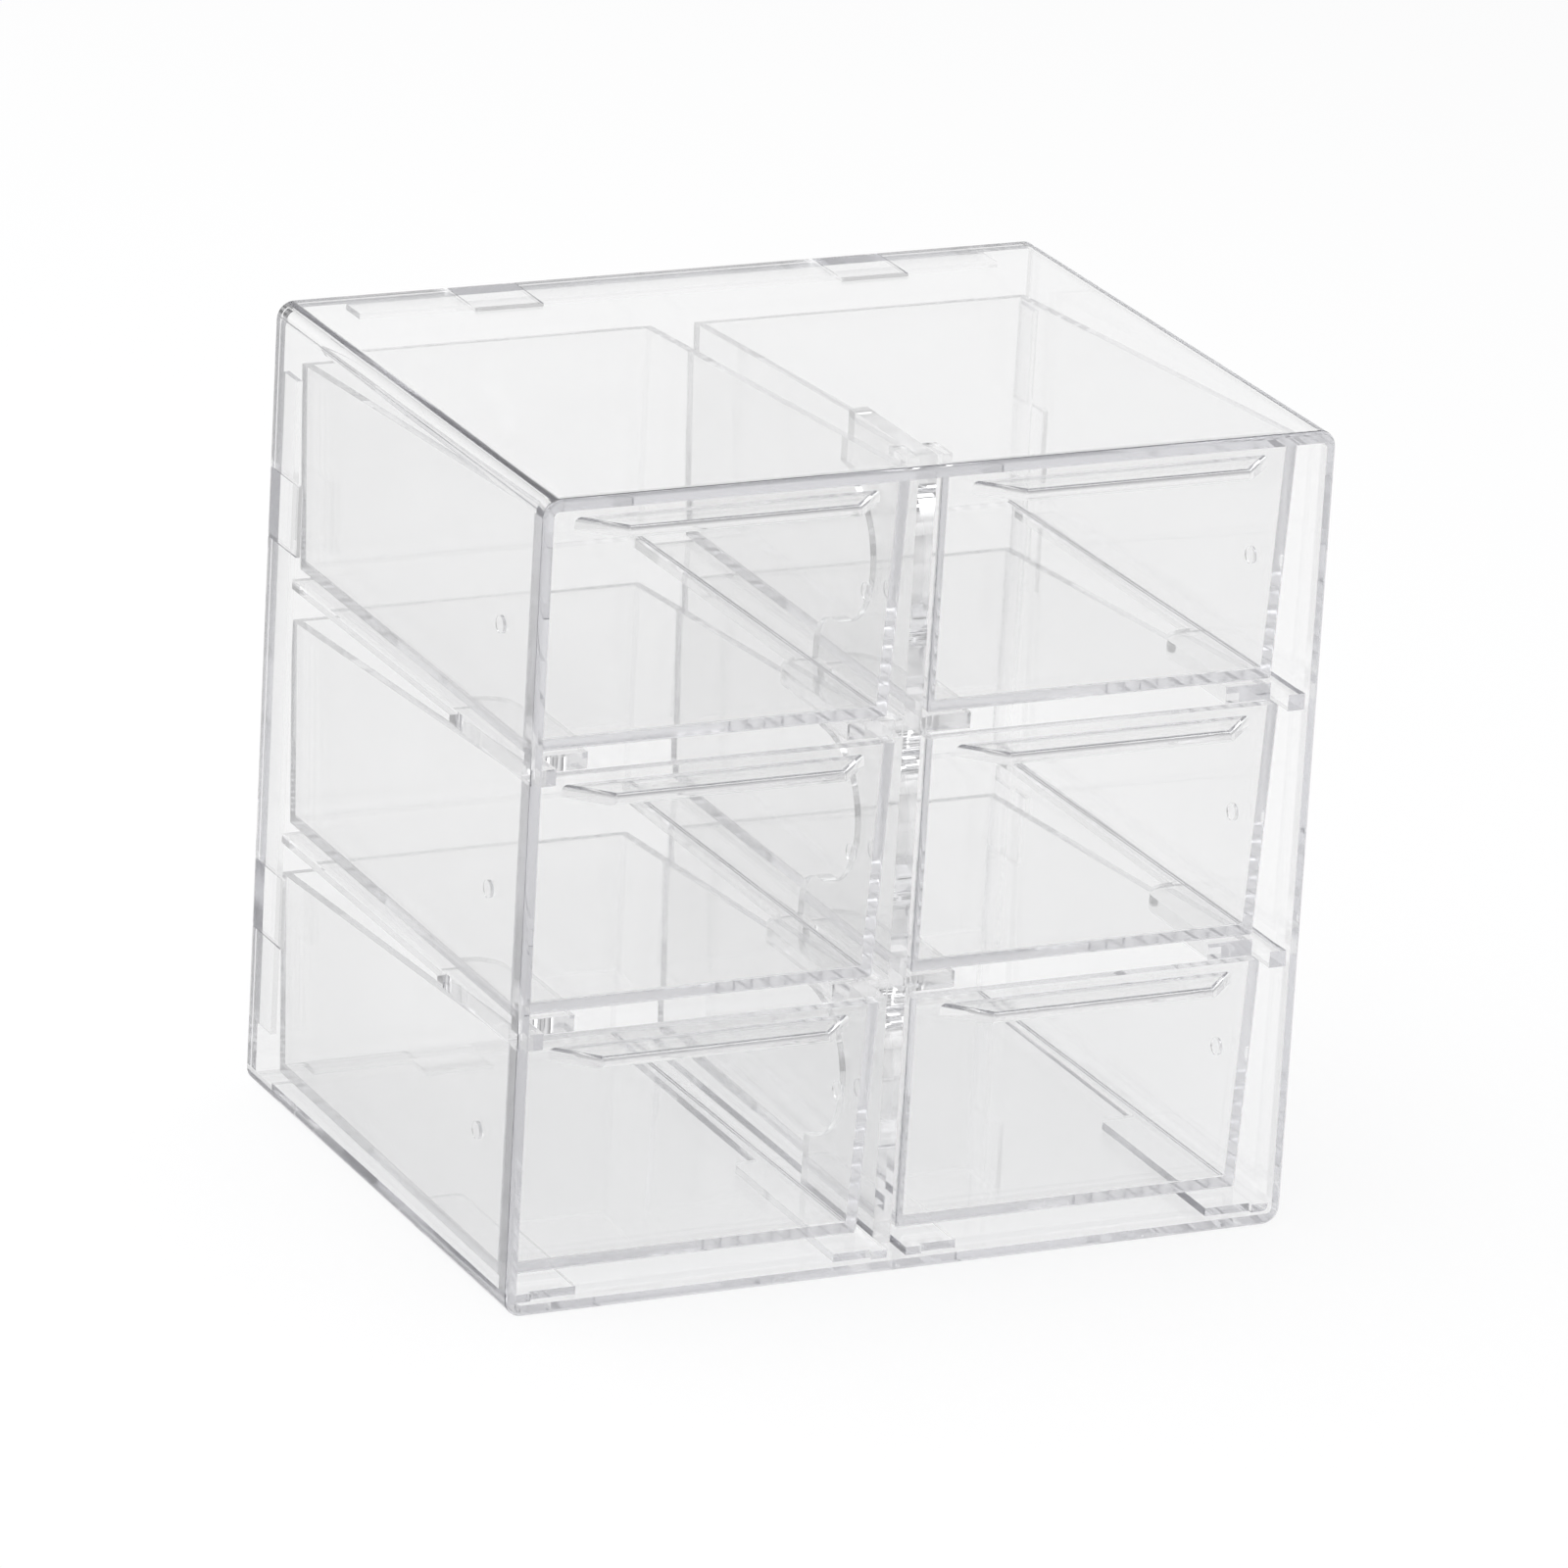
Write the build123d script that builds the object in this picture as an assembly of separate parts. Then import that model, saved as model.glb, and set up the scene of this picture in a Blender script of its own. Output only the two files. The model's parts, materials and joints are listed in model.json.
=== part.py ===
from build123d import *
import os

# Mini drawer organizer: a clear moulded sleeve with six drawers in two columns and three tiers.
# Millimetres. X is the width, Y the depth (front at -Y), Z up. Origin at the middle of the underside.

# Case sleeve
case_width = 140.0
case_depth = 110.0
case_height = 138.0
wall = 2.0
outer_corner_radius = 3.0
rim_round = 0.7
mouth_flare = 0.3
mouth_depth = 4.6
tiers = 3

# Rails, pads and floor runners that carry the drawers
rail_thickness = 1.6
rail_rise = 1.4
rail_reach = 4.5
rail_back_setback = 9.5
pad_thickness = 2.8
pad_reach = 11.0
pad_front_setback = 7.5
wall_pad_length = 26.8
pad_corner_share = 0.85
tab_reach = 2.8
tab_front_setback = 1.2
floor_pad_front_setback = 2.0
floor_pad_length = 40.5
floor_pad_corner = 1.6

# Snap tongues of the back cover and their notches in the sleeve
tongue_width = 12.0
tongue_length = 12.0
tongue_bevel_length = 4.2
tongue_bevel_drop = 0.15
tongue_clearance = 0.15
side_tongue_spacing = 69.0
level_tongue_spacing = 67.0

# Centre divider
divider_thickness = 3.2
divider_front_setback = 7.0
divider_fit = 0.1
web_strip = 14.2
ear_rise = 8.75
ear_reach = 6.5
ear_round_share = 0.95
end_ear_cut = 7.0
centre_pad_length = 31.5
centre_rail_reach = 5.0
centre_rail_back_setback = 7.3
lug_width = 2.5
lug_length = 6.0

# Back cover
cover_thickness = 2.0
cover_fit = 0.15
flange_thickness = 1.0
flange_depth = 5.8
flange_corner_gap = 9.5

# Drawers
drawer_headroom = 0.75
drawer_wall = 1.6
drawer_front_thickness = 2.0
drawer_side_gap = 1.2
drawer_side_draft = 0.75
drawer_plan_taper = 1.0
drawer_front_setback = 7.0
drawer_front_lean = 2.0
drawer_back_gap = 2.0
drawer_back_lean = 1.5
drawer_top_fall = 5.5
drawer_edge_round = 0.5
drawer_inner_round = 0.5
runner_clearance = 0.1
bump_width = 3.0
bump_height = 0.6
bump_setback = 11.0
bump_rise = 18.5
bottom_bump_rise = 21.8

# Lip handle on each drawer front
lip_front_setback = 0.5
lip_front_length = 40.0
lip_end_slope = 6.5
lip_thickness = 2.0
lip_drop = 1.5
lip_round = 0.8

# One length by which every cutting tool runs past what it cuts
overrun = 1.0

# Places worked out from the sizes above
front_y = -case_depth / 2
back_y = case_depth / 2
inner_x = case_width / 2 - wall
floor_z = wall
ceiling_z = case_height - wall
tier_pitch = (ceiling_z - floor_z) / tiers
tier_floors = [floor_z + tier_pitch * tier for tier in range(tiers)]
divider_face_x = divider_thickness / 2
column_centre = (inner_x + divider_face_x) / 2
column_half = (inner_x - divider_face_x) / 2
pad_front_y = front_y + pad_front_setback
wall_pad_back_y = pad_front_y + wall_pad_length
centre_pad_back_y = pad_front_y + centre_pad_length
pad_corner = pad_corner_share * (pad_reach - rail_reach)
cover_inner_y = back_y - cover_thickness
scallop_radius = (tier_pitch - rail_thickness) / 2 - ear_rise
ear_length = web_strip + scallop_radius + ear_reach
lug_height = pad_thickness - rail_rise
drawer_height = tier_pitch - pad_thickness - runner_clearance - drawer_headroom
drawer_top_front_y = front_y + drawer_front_setback
drawer_top_back_y = cover_inner_y - drawer_back_gap
side_tongue_heights = [case_height / 2 + side * side_tongue_spacing / 2 for side in (-1, 1)]
level_tongue_places = [side * level_tongue_spacing / 2 for side in (-1, 1)]


def block(x_range, y_range, z_range):
    """A plain box between two places on each axis, given in either order."""
    spans = [(min(pair), max(pair)) for pair in (x_range, y_range, z_range)]
    centre = [(low + high) / 2 for low, high in spans]
    return Pos(*centre) * Box(*[high - low for low, high in spans])


def along_depth(section, y_front, y_back):
    """Extrude a section drawn in width and height from y_back forward to y_front."""
    plane = Plane(origin=(0, y_back, 0), x_dir=(1, 0, 0), z_dir=(0, -1, 0))
    return extrude(plane * section, amount=y_back - y_front)


def sleeve_section(growth, flare=0):
    """Inner outline of the sleeve, grown outwards by a length and widened at each side by a flare."""
    width = 2 * (inner_x + growth + flare)
    height = ceiling_z - floor_z + 2 * growth
    radius = outer_corner_radius - wall + growth
    return Pos(0, case_height / 2) * RectangleRounded(width, height, radius)


def near(vertices, x, y):
    """The vertex of an outline that lies nearest to a place in its plane."""
    return min(vertices, key=lambda v: (v.X - x) ** 2 + (v.Y - y) ** 2)


def pad_plan(face_x, tab_edge, pad_edge, y_ends, corner):
    """Plan of a pad with a narrow tab in front of it; the pad's inner rear corner is round."""
    tab_x = face_x + tab_edge
    pad_x = face_x + pad_edge
    tab_y, pad_y, rear_y = y_ends
    outline = Polyline(
        (face_x, tab_y),
        (tab_x, tab_y),
        (tab_x, pad_y),
        (pad_x, pad_y),
        (pad_x, rear_y),
        (face_x, rear_y),
        close=True,
    )
    plan = make_face(outline)
    return fillet(near(plan.vertices(), pad_x, rear_y), corner)


def wall_pad_plan(side, y_ends, corner):
    """Plan of a pad and its tab on one side wall, rooted half way into the wall."""
    root = wall / 2
    tab_edge = -side * (tab_reach + root)
    pad_edge = -side * (pad_reach + root)
    return pad_plan(side * (inner_x + root), tab_edge, pad_edge, y_ends, corner)


def slab(plan, bottom, top):
    """A flat plate of the given plan between two heights."""
    return extrude(Pos(0, 0, bottom) * plan, amount=top - bottom)


def sleeve():
    """The bare sleeve: rounded tube with a rounded front rim, its mouth slightly flared at both sides."""
    body = along_depth(sleeve_section(wall), front_y, back_y)
    rim_edges = body.faces().sort_by(Axis.Y)[0].edges()
    body = fillet(rim_edges, rim_round)
    bore = along_depth(sleeve_section(0), front_y - overrun, back_y + overrun)
    flare_front = Plane(origin=(0, front_y, 0), x_dir=(1, 0, 0), z_dir=(0, -1, 0))
    flare_back = Plane(origin=(0, front_y + mouth_depth, 0), x_dir=(1, 0, 0), z_dir=(0, -1, 0))
    mouth = loft([flare_back * sleeve_section(0), flare_front * sleeve_section(0, mouth_flare)], ruled=True)
    return body - bore - mouth


def side_rails():
    """Rails, pads and tabs moulded on the two side walls under the upper tiers."""
    rails = []
    rail_ends = (wall_pad_back_y - overrun, back_y - rail_back_setback)
    pad_ends = (front_y + tab_front_setback, pad_front_y, wall_pad_back_y)
    for side in (-1, 1):
        root_x = side * (inner_x + wall / 2)
        rail_x = (root_x, side * (inner_x - rail_reach))
        plan = wall_pad_plan(side, pad_ends, pad_corner)
        for tier_floor in tier_floors[1:]:
            top = tier_floor + rail_rise
            rails.append(slab(plan, top - pad_thickness, top))
            rails.append(block(rail_x, rail_ends, (top - rail_thickness, top)))
    return rails


def floor_runners():
    """Runners on the floor, two along the side walls and two beside the divider's foot."""
    runners = []
    pad_start = front_y + floor_pad_front_setback
    pad_ends = (front_y + tab_front_setback, pad_start, pad_start + floor_pad_length)
    runner_ends = (pad_ends[2] - floor_pad_corner - overrun, back_y - rail_back_setback)
    levels = (floor_z - wall / 2, floor_z + rail_rise)
    socket_x = divider_face_x + divider_fit
    for side in (-1, 1):
        root_x = side * (inner_x + wall / 2)
        runners.append(slab(wall_pad_plan(side, pad_ends, floor_pad_corner), *levels))
        runners.append(block((root_x, side * (inner_x - rail_reach)), runner_ends, levels))
        pad_edge = side * (pad_reach - socket_x)
        inner_plan = pad_plan(side * socket_x, side * tab_reach, pad_edge, pad_ends, floor_pad_corner)
        runners.append(slab(inner_plan, *levels))
        runners.append(block((side * socket_x, side * (socket_x + centre_rail_reach)), runner_ends, levels))
    return runners


def divider_lugs():
    """Two lugs under the top wall that hold the divider's top edge between them."""
    start = front_y + divider_front_setback
    lugs = []
    for side in (-1, 1):
        inner = side * (divider_face_x + divider_fit)
        outer = inner + side * lug_width
        heights = (ceiling_z - lug_height, ceiling_z + wall / 2)
        lugs.append(block((inner, outer), (start, start + lug_length), heights))
    return lugs


def tongue_blocks(margin, depth_range, tip_margin):
    """Boxes in the walls where the eight snap tongues lie, wider than a tongue by a margin each side.

    depth_range is measured inwards from the outer faces of the sleeve.
    """
    half = tongue_width / 2 + margin
    tip_y = back_y - tongue_length - tip_margin
    ends = (tip_y, back_y + tip_margin)
    blocks = []
    for side in (-1, 1):
        faces = [side * (case_width / 2 - depth) for depth in depth_range]
        for height in side_tongue_heights:
            blocks.append(block(faces, ends, (height - half, height + half)))
    for outer, inward in ((0, 1), (case_height, -1)):
        faces = [outer + inward * depth for depth in depth_range]
        for place in level_tongue_places:
            blocks.append(block((place - half, place + half), ends, faces))
    return blocks


def case_shell():
    body = sleeve()
    for piece in side_rails() + floor_runners() + divider_lugs():
        body += piece
    for notch in tongue_blocks(tongue_clearance, (-overrun, wall), tongue_clearance):
        body -= notch
    return body


def scallop(bottom, top, end_sides):
    """The rounded bite out of the web's rear edge between two rails, drawn in depth and height.

    Towards each of end_sides, the floor (-1) or the ceiling (1), the ear that is left is shorter.
    """
    middle = (bottom + top) / 2
    web_front = front_y + divider_front_setback
    centre_y = web_front + web_strip + scallop_radius
    rear_y = web_front + ear_length + overrun
    bite = Pos(centre_y, middle) * Circle(scallop_radius)
    bite += Pos((centre_y + rear_y) / 2, middle) * Rectangle(rear_y - centre_y, 2 * scallop_radius)
    ear_y = web_front + ear_length - end_ear_cut
    reach = (top - bottom) / 2 + overrun + rail_rise
    for side in end_sides:
        bite += Pos((ear_y + rear_y) / 2, middle + side * reach / 2) * Rectangle(rear_y - ear_y, reach)
    return bite


def divider_web():
    """The upright web: a front strip whose rear edge swells into rounded ears at each rail."""
    web_front = front_y + divider_front_setback
    web_height = ceiling_z - floor_z - 2 * divider_fit
    middle = (floor_z + ceiling_z) / 2
    outline = Pos(web_front + ear_length / 2, middle) * Rectangle(ear_length, web_height)
    bottoms = [tier_floor + rail_rise for tier_floor in tier_floors]
    tops = [bottom - rail_thickness for bottom in bottoms[1:]] + [ceiling_z]
    for tier in range(tiers):
        ends = [side for side, place in ((-1, 0), (1, tiers - 1)) if tier == place]
        outline -= scallop(bottoms[tier], tops[tier], ends)
    rear_y = web_front + ear_length
    corners = [v for v in outline.vertices() if abs(v.X - rear_y) < divider_fit]
    outline = fillet(corners, ear_round_share * ear_reach)
    plane = Plane(origin=(-divider_face_x, 0, 0), x_dir=(0, 1, 0), z_dir=(1, 0, 0))
    return extrude(plane * outline, amount=divider_thickness)


def centre_divider():
    """The web with two flat centre rails, whose pads stiffen it beside the drawers."""
    body = divider_web()
    start = front_y + divider_front_setback
    pad_ends = (start + tab_front_setback / 2, start + tab_front_setback, centre_pad_back_y)
    rail_x = divider_face_x + centre_rail_reach
    rail_ends = (centre_pad_back_y - overrun, back_y - centre_rail_back_setback)
    for tier_floor in tier_floors[1:]:
        top = tier_floor + rail_rise
        body += block((-rail_x, rail_x), rail_ends, (top - rail_thickness, top))
        for side in (-1, 1):
            plan = pad_plan(0, side * tab_reach, side * pad_reach, pad_ends, pad_corner)
            body += slab(plan, top - pad_thickness, top)
    return body


def snap_tongues():
    """Eight flat tongues that fill the notches, each with a slight bevel towards its tip."""
    depth = wall + cover_fit
    tongues = []
    tip_y = back_y - tongue_length
    half = tongue_width / 2
    profile = Polyline(
        (back_y, 0),
        (tip_y + tongue_bevel_length, 0),
        (tip_y, tongue_bevel_drop),
        (tip_y, depth),
        (back_y, depth),
        close=True,
    )
    face = make_face(profile)
    for side in (-1, 1):
        for height in side_tongue_heights:
            plane = Plane(
                origin=(side * case_width / 2, 0, height - side * half),
                x_dir=(0, 1, 0),
                z_dir=(0, 0, side),
            )
            tongues.append(extrude(plane * face, amount=tongue_width))
    for outer, inward in ((0, 1), (case_height, -1)):
        for place in level_tongue_places:
            plane = Plane(origin=(place - inward * half, 0, outer), x_dir=(0, 1, 0), z_dir=(inward, 0, 0))
            tongues.append(extrude(plane * face, amount=tongue_width))
    return tongues


def back_cover():
    """Rear tray: a panel inside the sleeve's rear edge, four flanges and eight snap tongues."""
    body = along_depth(sleeve_section(-cover_fit), cover_inner_y, back_y)
    flange_front = cover_inner_y - flange_depth
    depths = (flange_front, cover_inner_y + cover_thickness / 2)
    outer_x = inner_x - cover_fit
    side_span = (floor_z + flange_corner_gap, ceiling_z - flange_corner_gap)
    level_span = (flange_corner_gap - inner_x, inner_x - flange_corner_gap)
    for side in (-1, 1):
        body += block((side * outer_x, side * (outer_x - flange_thickness)), depths, side_span)
    for edge, inward in ((floor_z, 1), (ceiling_z, -1)):
        outer_z = edge + inward * cover_fit
        body += block(level_span, depths, (outer_z, outer_z + inward * flange_thickness))
    for tongue in snap_tongues():
        body += tongue
    return body


def drawer_half_width(height, y):
    """Half the drawer's outer width: it narrows towards its underside and towards its back."""
    depth_share = (y - drawer_top_front_y) / (drawer_top_back_y - drawer_top_front_y)
    narrowing = drawer_side_draft * (1 - height / drawer_height) + drawer_plan_taper * depth_share
    return column_half - drawer_side_gap - narrowing


def drawer_ends(height):
    """Outer faces of the drawer's front and back, which lean towards each other lower down."""
    lower_share = 1 - height / drawer_height
    y_front = drawer_top_front_y + drawer_front_lean * lower_share
    y_back = drawer_top_back_y - drawer_back_lean * lower_share
    return y_front, y_back


def across_column(side_profile):
    """Extrude a profile drawn in depth and height over the whole width of a column."""
    plane = Plane(origin=(-column_half, 0, 0), x_dir=(0, 1, 0), z_dir=(1, 0, 0))
    return extrude(plane * side_profile, amount=2 * column_half)


def drawer_block(bottom, top, inset, front_inset):
    """A tapered block between two heights: the drawer's outline drawn in by its wall thicknesses."""
    low_front, low_back = drawer_ends(bottom)
    high_front, high_back = drawer_ends(top)
    profile = Polyline(
        (low_front + front_inset, bottom),
        (low_back - inset, bottom),
        (high_back - inset, top),
        (high_front + front_inset, top),
        close=True,
    )
    body = across_column(make_face(profile))
    taper_share = drawer_plan_taper / (drawer_top_back_y - drawer_top_front_y)
    draft_share = drawer_side_draft / drawer_height
    for side in (-1, 1):
        edge_x = side * (drawer_half_width(bottom, low_front) - inset)
        side_wall = Plane(origin=(edge_x, low_front, bottom), z_dir=(side, taper_share, -draft_share))
        body = split(body, bisect_by=side_wall, keep=Keep.BOTTOM)
    return body


def upright_edges(body):
    """The four upright corner edges of a drawer block."""
    return [edge for edge in body.edges() if edge.bounding_box().size.Z > drawer_height / 2]


def bottom_edges(body):
    """The edges round the underside of a drawer block."""
    return list(body.faces().sort_by(Axis.Z)[0].edges())


def side_bumps(rise):
    """A small round bump on each side wall, which rubs in the sleeve and keeps the drawer shut."""
    bump_y = drawer_ends(rise)[0] + bump_setback
    face_x = drawer_half_width(rise, bump_y)
    root_x = face_x - drawer_wall / 2
    bumps = []
    for side in (-1, 1):
        place = Plane(origin=(side * root_x, bump_y, rise), x_dir=(0, 1, 0), z_dir=(side, 0, 0))
        bumps.append(extrude(place * Circle(bump_width / 2), amount=face_x + bump_height - root_x))
    return bumps


def lip_handle():
    """A flat lip along the top of the drawer front, both ends cut back at a slope, its top rim round."""
    plate_y = drawer_top_front_y
    tip_y = front_y + lip_front_setback
    half = lip_front_length / 2
    root_y = plate_y + drawer_front_thickness / 2
    slope_share = (root_y - tip_y) / (plate_y - tip_y)
    root_half = half + lip_end_slope * slope_share
    outline = Polyline((-half, tip_y), (half, tip_y), (root_half, root_y), (-root_half, root_y), close=True)
    top = drawer_height - lip_drop
    lip = extrude(Pos(0, 0, top - lip_thickness) * make_face(outline), amount=lip_thickness)
    front_edges = lip.faces().sort_by(Axis.Y)[0].edges()
    slope_edges = lip.faces().sort_by(Axis.Z)[-1].edges().sort_by(Axis.Y)[1:-1]
    return fillet(list(front_edges) + list(slope_edges), lip_round)


def drawer_body(rise):
    """One drawer standing on z = 0 about x = 0, at its closed place in depth, its bumps at a height."""
    outer = drawer_block(0, drawer_height, 0, 0)
    outer = fillet(upright_edges(outer) + bottom_edges(outer), drawer_edge_round)
    inner = drawer_block(drawer_wall, drawer_height + overrun, drawer_wall, drawer_front_thickness)
    inner = fillet(bottom_edges(inner), drawer_inner_round)
    slope_front = drawer_top_front_y + drawer_front_thickness
    slope_back = drawer_top_back_y + overrun
    above = Polyline(
        (slope_front, drawer_height),
        (slope_back, drawer_height - drawer_top_fall),
        (slope_back, drawer_height + overrun),
        (slope_front, drawer_height + overrun),
        close=True,
    )
    body = outer - inner - across_column(make_face(above))
    for bump in side_bumps(rise):
        body += bump
    return body + lip_handle()


def save(node, shape):
    export_step(shape, os.path.join("parts", node + ".step"))


os.makedirs("parts", exist_ok=True)
save("case_shell", case_shell())
save("centre_divider", centre_divider())
save("back_cover", back_cover())
for tier_name, tier_floor in zip(("bottom", "middle", "top"), tier_floors):
    drawer = drawer_body(bottom_bump_rise if tier_floor == floor_z else bump_rise)
    for column_name, side in (("left", -1), ("right", 1)):
        place = Pos(side * column_centre, 0, tier_floor + rail_rise + runner_clearance)
        save("drawer_" + tier_name + "_" + column_name, place * drawer)
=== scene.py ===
import json
import math

import bpy
from mathutils import Matrix, Vector

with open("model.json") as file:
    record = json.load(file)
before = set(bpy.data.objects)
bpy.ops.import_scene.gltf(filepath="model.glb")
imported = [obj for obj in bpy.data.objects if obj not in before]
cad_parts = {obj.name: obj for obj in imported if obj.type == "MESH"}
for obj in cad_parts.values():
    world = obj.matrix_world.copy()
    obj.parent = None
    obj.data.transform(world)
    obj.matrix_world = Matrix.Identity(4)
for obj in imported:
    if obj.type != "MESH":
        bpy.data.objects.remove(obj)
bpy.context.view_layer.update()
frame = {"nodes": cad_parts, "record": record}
scene = bpy.context.scene

# Shared by the floor, the studio and the plastic
WHITE = (1.0, 1.0, 1.0, 1.0)
WHITE_LEVEL = 1.0
WHOLE_SPAN = (0.0, 1.0)

# Camera, from the fit to the photograph's frame of 1600 by 1600 pixels
CAMERA_TARGET = Vector((0.000326, -0.001373, 0.065883))
CAMERA_DISTANCE = 1.782612
CAMERA_AZIMUTH = math.radians(25.9502)
CAMERA_ELEVATION = math.radians(19.3011)
CAMERA_ROLL = math.radians(3.2563)
CAMERA_LENS = 247.5
CAMERA_SENSOR = 36.0

# Floor: white paper, which the plastic mirrors as dimmer in front of the box and on its left
FLOOR_RADIUS = 8.0
FLOOR_SIDES = 96
FLOOR_GAP = 0.00005
FLOOR_COLOUR = (0.95, 0.95, 0.95, 1.0)
FLOOR_GLOW_SHARE = 0.75
FLOOR_FRONT_LEVEL = 0.5
FLOOR_FRONT_SPAN = (-0.12, -0.06)
FLOOR_LEFT_LEVEL = 0.76
FLOOR_LEFT_SPAN = (-0.05, -0.01)

# Studio walls: white behind and beside the box, a dim room overhead and behind the camera
ROOM_ZENITH = (0.38, 0.38, 0.39, 1.0)
ROOM_FRONT = (0.26, 0.26, 0.265, 1.0)
ROOM_WHITE_UP_TO = 0.25
ROOM_ZENITH_FROM = 0.65
ROOM_FRONT_SPAN = (-0.55, 0.0)

# Square lamps, turned to the middle of the box: place, width and power
BOX_MIDDLE = Vector((0.0, 0.0, 0.07))
SOFTBOXES = {
    "overhead": (Vector((-0.3, 0.2, 1.6)), 1.8, 22.5),
    "front": (Vector((-0.9, -1.3, 1.1)), 1.2, 7.0),
}

# Clear plastic. Each noise has a scale, a detail and a roughness
# A tint holds the grey levels of the clearest and the cloudiest spots
PLASTIC_IOR = 1.52
HAZE_SHARE = 0.012
CLOUD_NOISE = (28.0, 3.0, 0.55)
SCRATCH_STRETCH = (900.0, 120.0, 260.0)
SCRATCH_NOISE = (1.0, 4.0, 0.6)
SCRATCH_SPAN = (0.45, 0.85)
GLOSS_SPAN = (0.012, 0.07)
WAVE_NOISE = (45.0, 1.0, 0.4)
WAVE_STRENGTH = 0.03
WAVE_DEPTH = 0.001
BODY_COLOUR = (0.90, 0.90, 0.91, 1.0)
SHADE_COLOUR = (0.935, 0.938, 0.941, 1.0)
CLEAR_TINT = (0.996, 0.976)
GREY_TINT = (0.955, 0.93)
CASE_DENSITY = 28.0
DRAWER_DENSITY = 22.0
DIVIDER_DENSITY = 14.0
SLOT_LOOKS = {
    "clear_case": (CLEAR_TINT, CASE_DENSITY),
    "clear_divider": (GREY_TINT, DIVIDER_DENSITY),
    "clear_cover": (CLEAR_TINT, CASE_DENSITY),
    "clear_drawer": (CLEAR_TINT, DRAWER_DENSITY),
}

# Light crosses many clear walls one behind another here, so it may bounce more often than usual
LIGHT_BOUNCES = 160
SHADOW_LAYERS = 64


def make_node(tree, kind, properties=None, **inputs):
    """A new shader node with its properties and its input values set by name."""
    node = tree.nodes.new(kind)
    for name, value in (properties or {}).items():
        setattr(node, name, value)
    for name, value in inputs.items():
        node.inputs[name.replace("_", " ")].default_value = value
    return node


def map_range(tree, source, from_range, to_range):
    """A value mapped from one range to another, stopped at the ends."""
    node = make_node(tree, "ShaderNodeMapRange")
    for name, value in zip(("From Min", "From Max", "To Min", "To Max"), from_range + to_range):
        node.inputs[name].default_value = value
    tree.links.new(source, node.inputs["Value"])
    return node.outputs["Result"]


def calculate(tree, operation, first, second):
    """Two values joined by one operation, such as their product."""
    node = make_node(tree, "ShaderNodeMath", {"operation": operation})
    tree.links.new(first, node.inputs[0])
    tree.links.new(second, node.inputs[1])
    return node.outputs["Value"]


def mix_shaders(tree, share, first, second):
    """A mix of two shaders by a share, which is a number or the output of another node."""
    node = make_node(tree, "ShaderNodeMixShader")
    if isinstance(share, float):
        node.inputs[0].default_value = share
    else:
        tree.links.new(share, node.inputs[0])
    tree.links.new(first, node.inputs[1])
    tree.links.new(second, node.inputs[2])
    return node.outputs["Shader"]


def empty_material(name):
    """A new material with an empty node tree and its output node."""
    material = bpy.data.materials.new(name)
    material.use_nodes = True
    material.node_tree.nodes.clear()
    output = make_node(material.node_tree, "ShaderNodeOutputMaterial")
    return material, material.node_tree, output


def split_place(tree, kind):
    """The X, Y and Z of one kind of texture coordinates."""
    place = make_node(tree, "ShaderNodeTexCoord")
    split = make_node(tree, "ShaderNodeSeparateXYZ")
    tree.links.new(place.outputs[kind], split.inputs["Vector"])
    return split.outputs


def noise(tree, place, settings):
    """Noise over a place, with its scale, detail and roughness."""
    scale, detail, roughness = settings
    node = make_node(tree, "ShaderNodeTexNoise", Scale=scale, Detail=detail, Roughness=roughness)
    tree.links.new(place, node.inputs["Vector"])
    return node.outputs["Fac"]


def scratched_gloss(tree, place):
    """Roughness of polished plastic with fine hazy scratches."""
    stretched = make_node(tree, "ShaderNodeMapping", Scale=SCRATCH_STRETCH)
    tree.links.new(place, stretched.inputs["Vector"])
    scratches = noise(tree, stretched.outputs["Vector"], SCRATCH_NOISE)
    return map_range(tree, scratches, SCRATCH_SPAN, GLOSS_SPAN)


def flow_waves(tree, place):
    """The soft waves that the melt leaves in a moulded wall."""
    ripple = make_node(tree, "ShaderNodeBump", Strength=WAVE_STRENGTH, Distance=WAVE_DEPTH)
    tree.links.new(noise(tree, place, WAVE_NOISE), ripple.inputs["Height"])
    return ripple.outputs["Normal"]


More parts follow.
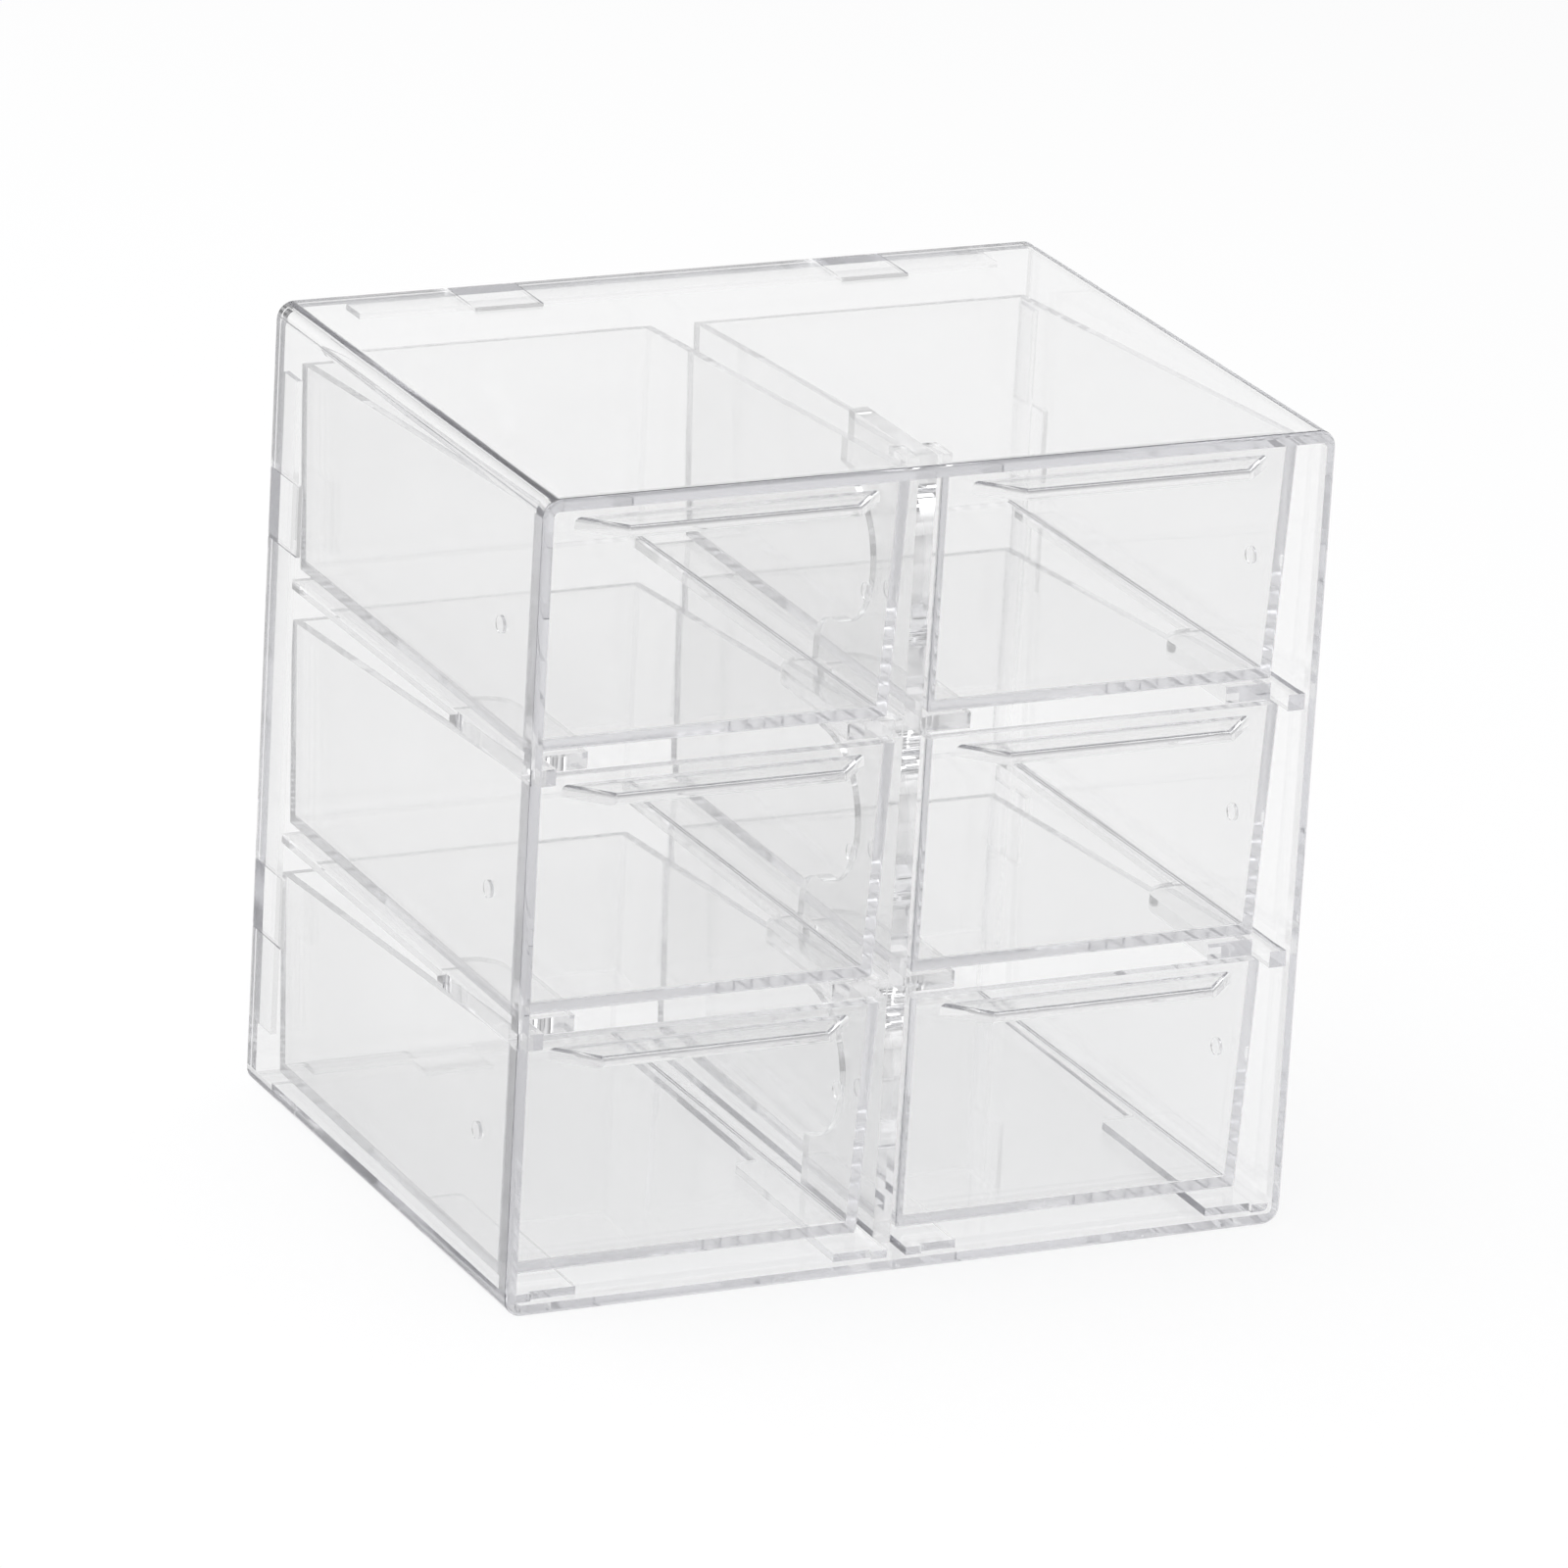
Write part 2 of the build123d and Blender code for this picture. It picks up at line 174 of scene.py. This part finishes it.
def clear_plastic(name, tint, density):
    """Clear moulded plastic: waves, faint clouds, fine scratches, a thin haze outside and a bluish body."""
    material, tree, output = empty_material(name)
    link = tree.links.new
    place = make_node(tree, "ShaderNodeTexCoord").outputs["Object"]
    colour = map_range(tree, noise(tree, place, CLOUD_NOISE), WHOLE_SPAN, tint)

    plastic = make_node(tree, "ShaderNodeBsdfPrincipled", IOR=PLASTIC_IOR, Transmission_Weight=1.0)
    link(colour, plastic.inputs["Base Color"])
    link(scratched_gloss(tree, place), plastic.inputs["Roughness"])
    link(flow_waves(tree, place), plastic.inputs["Normal"])

    # The haze lies on the outer faces only, so light inside a wall runs along it without loss
    haze = make_node(tree, "ShaderNodeBsdfDiffuse")
    link(colour, haze.inputs["Color"])
    face = make_node(tree, "ShaderNodeNewGeometry")
    haze_share = map_range(tree, face.outputs["Backfacing"], WHOLE_SPAN, (HAZE_SHARE, 0.0))
    surface = mix_shaders(tree, haze_share, plastic.outputs["BSDF"], haze.outputs["BSDF"])

    # Lamp light and soft floor light pass straight through, with a little loss
    shade = make_node(tree, "ShaderNodeBsdfTransparent", Color=SHADE_COLOUR)
    rays = make_node(tree, "ShaderNodeLightPath")
    soft_rays = calculate(tree, "MAXIMUM", rays.outputs["Is Shadow Ray"], rays.outputs["Is Diffuse Ray"])
    surface = mix_shaders(tree, soft_rays, surface, shade.outputs["BSDF"])
    link(surface, output.inputs["Surface"])

    body = make_node(tree, "ShaderNodeVolumeAbsorption", Color=BODY_COLOUR, Density=density)
    link(body.outputs["Volume"], output.inputs["Volume"])
    return material


def dress_nodes():
    """Each CAD piece gets the clear plastic of its record slot."""
    materials = {slot: clear_plastic(slot, *look) for slot, look in SLOT_LOOKS.items()}
    for row in frame["record"]["subparts"]:
        piece = frame["nodes"][row["node"]]
        piece.data.materials.clear()
        piece.data.materials.append(materials[row["material_slot"]])


def floor_glow(tree):
    """White glow, which mirrored rays see fade in front of the box and on its left."""
    place = split_place(tree, "Object")
    front = map_range(tree, place["Y"], FLOOR_FRONT_SPAN, (FLOOR_FRONT_LEVEL, WHITE_LEVEL))
    left = map_range(tree, place["X"], FLOOR_LEFT_SPAN, (FLOOR_LEFT_LEVEL, WHITE_LEVEL))
    rays = make_node(tree, "ShaderNodeLightPath")
    strength = make_node(tree, "ShaderNodeMix", {"data_type": "FLOAT"}, A=WHITE_LEVEL)
    tree.links.new(rays.outputs["Glossy Depth"], strength.inputs["Factor"])
    tree.links.new(calculate(tree, "MULTIPLY", front, left), strength.inputs["B"])
    glow = make_node(tree, "ShaderNodeEmission", Color=WHITE)
    tree.links.new(strength.outputs["Result"], glow.inputs["Strength"])
    return glow.outputs["Emission"]


def floor_paper():
    """Pale paper that shows as white and keeps the shadow."""
    material, tree, output = empty_material("floor_paper")
    paper = make_node(tree, "ShaderNodeBsdfDiffuse", Color=FLOOR_COLOUR)
    surface = mix_shaders(tree, FLOOR_GLOW_SHARE, paper.outputs["BSDF"], floor_glow(tree))
    tree.links.new(surface, output.inputs["Surface"])
    # Rays reach a glow this wide by themselves, so none is aimed at it
    material.cycles.emission_sampling = "NONE"
    return material


def make_floor():
    """A wide round floor under the box."""
    corners = []
    for index in range(FLOOR_SIDES):
        turn = math.tau * index / FLOOR_SIDES
        corners.append((FLOOR_RADIUS * math.cos(turn), FLOOR_RADIUS * math.sin(turn), -FLOOR_GAP))
    mesh = bpy.data.meshes.new("floor")
    mesh.from_pydata(corners, [], [tuple(range(FLOOR_SIDES))])
    mesh.materials.append(floor_paper())
    floor = bpy.data.objects.new("floor", mesh)
    scene.collection.objects.link(floor)


def make_world():
    """The studio round the box, brightest behind it and dim overhead and in front."""
    world = bpy.data.worlds.new("studio")
    world.use_nodes = True
    tree = world.node_tree
    tree.nodes.clear()
    link = tree.links.new
    place = split_place(tree, "Generated")
    upward = make_node(tree, "ShaderNodeValToRGB")
    low, high = upward.color_ramp.elements
    low.position = ROOM_WHITE_UP_TO
    low.color = WHITE
    high.position = ROOM_ZENITH_FROM
    high.color = ROOM_ZENITH
    link(place["Z"], upward.inputs["Fac"])
    room = make_node(tree, "ShaderNodeMix", {"data_type": "RGBA"}, A=ROOM_FRONT)
    link(map_range(tree, place["Y"], ROOM_FRONT_SPAN, WHOLE_SPAN), room.inputs["Factor"])
    link(upward.outputs["Color"], room.inputs["B"])
    background = make_node(tree, "ShaderNodeBackground", Strength=WHITE_LEVEL)
    link(room.outputs["Result"], background.inputs["Color"])
    output = make_node(tree, "ShaderNodeOutputWorld")
    link(background.outputs["Background"], output.inputs["Surface"])
    # The walls are smooth and all round, so no ray is aimed at them either
    world.cycles.sampling_method = "NONE"
    scene.world = world


def add_softbox(name, place, width, power):
    """A square studio lamp turned to the middle of the box."""
    lamp = bpy.data.lights.new(name, "AREA")
    lamp.shape = "SQUARE"
    lamp.size = width
    lamp.energy = power
    holder = bpy.data.objects.new(name, lamp)
    holder.location = place
    holder.rotation_euler = (BOX_MIDDLE - place).to_track_quat("-Z", "Y").to_euler()
    scene.collection.objects.link(holder)


def make_camera():
    """The camera at the photograph's place, with its small roll."""
    look = Vector((
        math.cos(CAMERA_ELEVATION) * math.sin(CAMERA_AZIMUTH),
        math.cos(CAMERA_ELEVATION) * math.cos(CAMERA_AZIMUTH),
        -math.sin(CAMERA_ELEVATION),
    ))
    level_right = Vector((math.cos(CAMERA_AZIMUTH), -math.sin(CAMERA_AZIMUTH), 0.0))
    level_up = level_right.cross(look)
    right = level_right * math.cos(CAMERA_ROLL) + level_up * math.sin(CAMERA_ROLL)
    up = right.cross(look)
    data = bpy.data.cameras.new("camera")
    data.lens = CAMERA_LENS
    data.sensor_width = CAMERA_SENSOR
    camera = bpy.data.objects.new("camera", data)
    turn = Matrix((right, up, -look)).transposed()
    camera.matrix_world = Matrix.Translation(CAMERA_TARGET - look * CAMERA_DISTANCE) @ turn.to_4x4()
    scene.collection.objects.link(camera)
    scene.camera = camera


dress_nodes()
make_floor()
make_world()
for lamp_name, settings in SOFTBOXES.items():
    add_softbox(lamp_name, *settings)
make_camera()
scene.view_settings.view_transform = "Standard"
scene.cycles.max_bounces = LIGHT_BOUNCES
scene.cycles.transmission_bounces = LIGHT_BOUNCES
scene.cycles.glossy_bounces = LIGHT_BOUNCES
scene.cycles.transparent_max_bounces = SHADOW_LAYERS
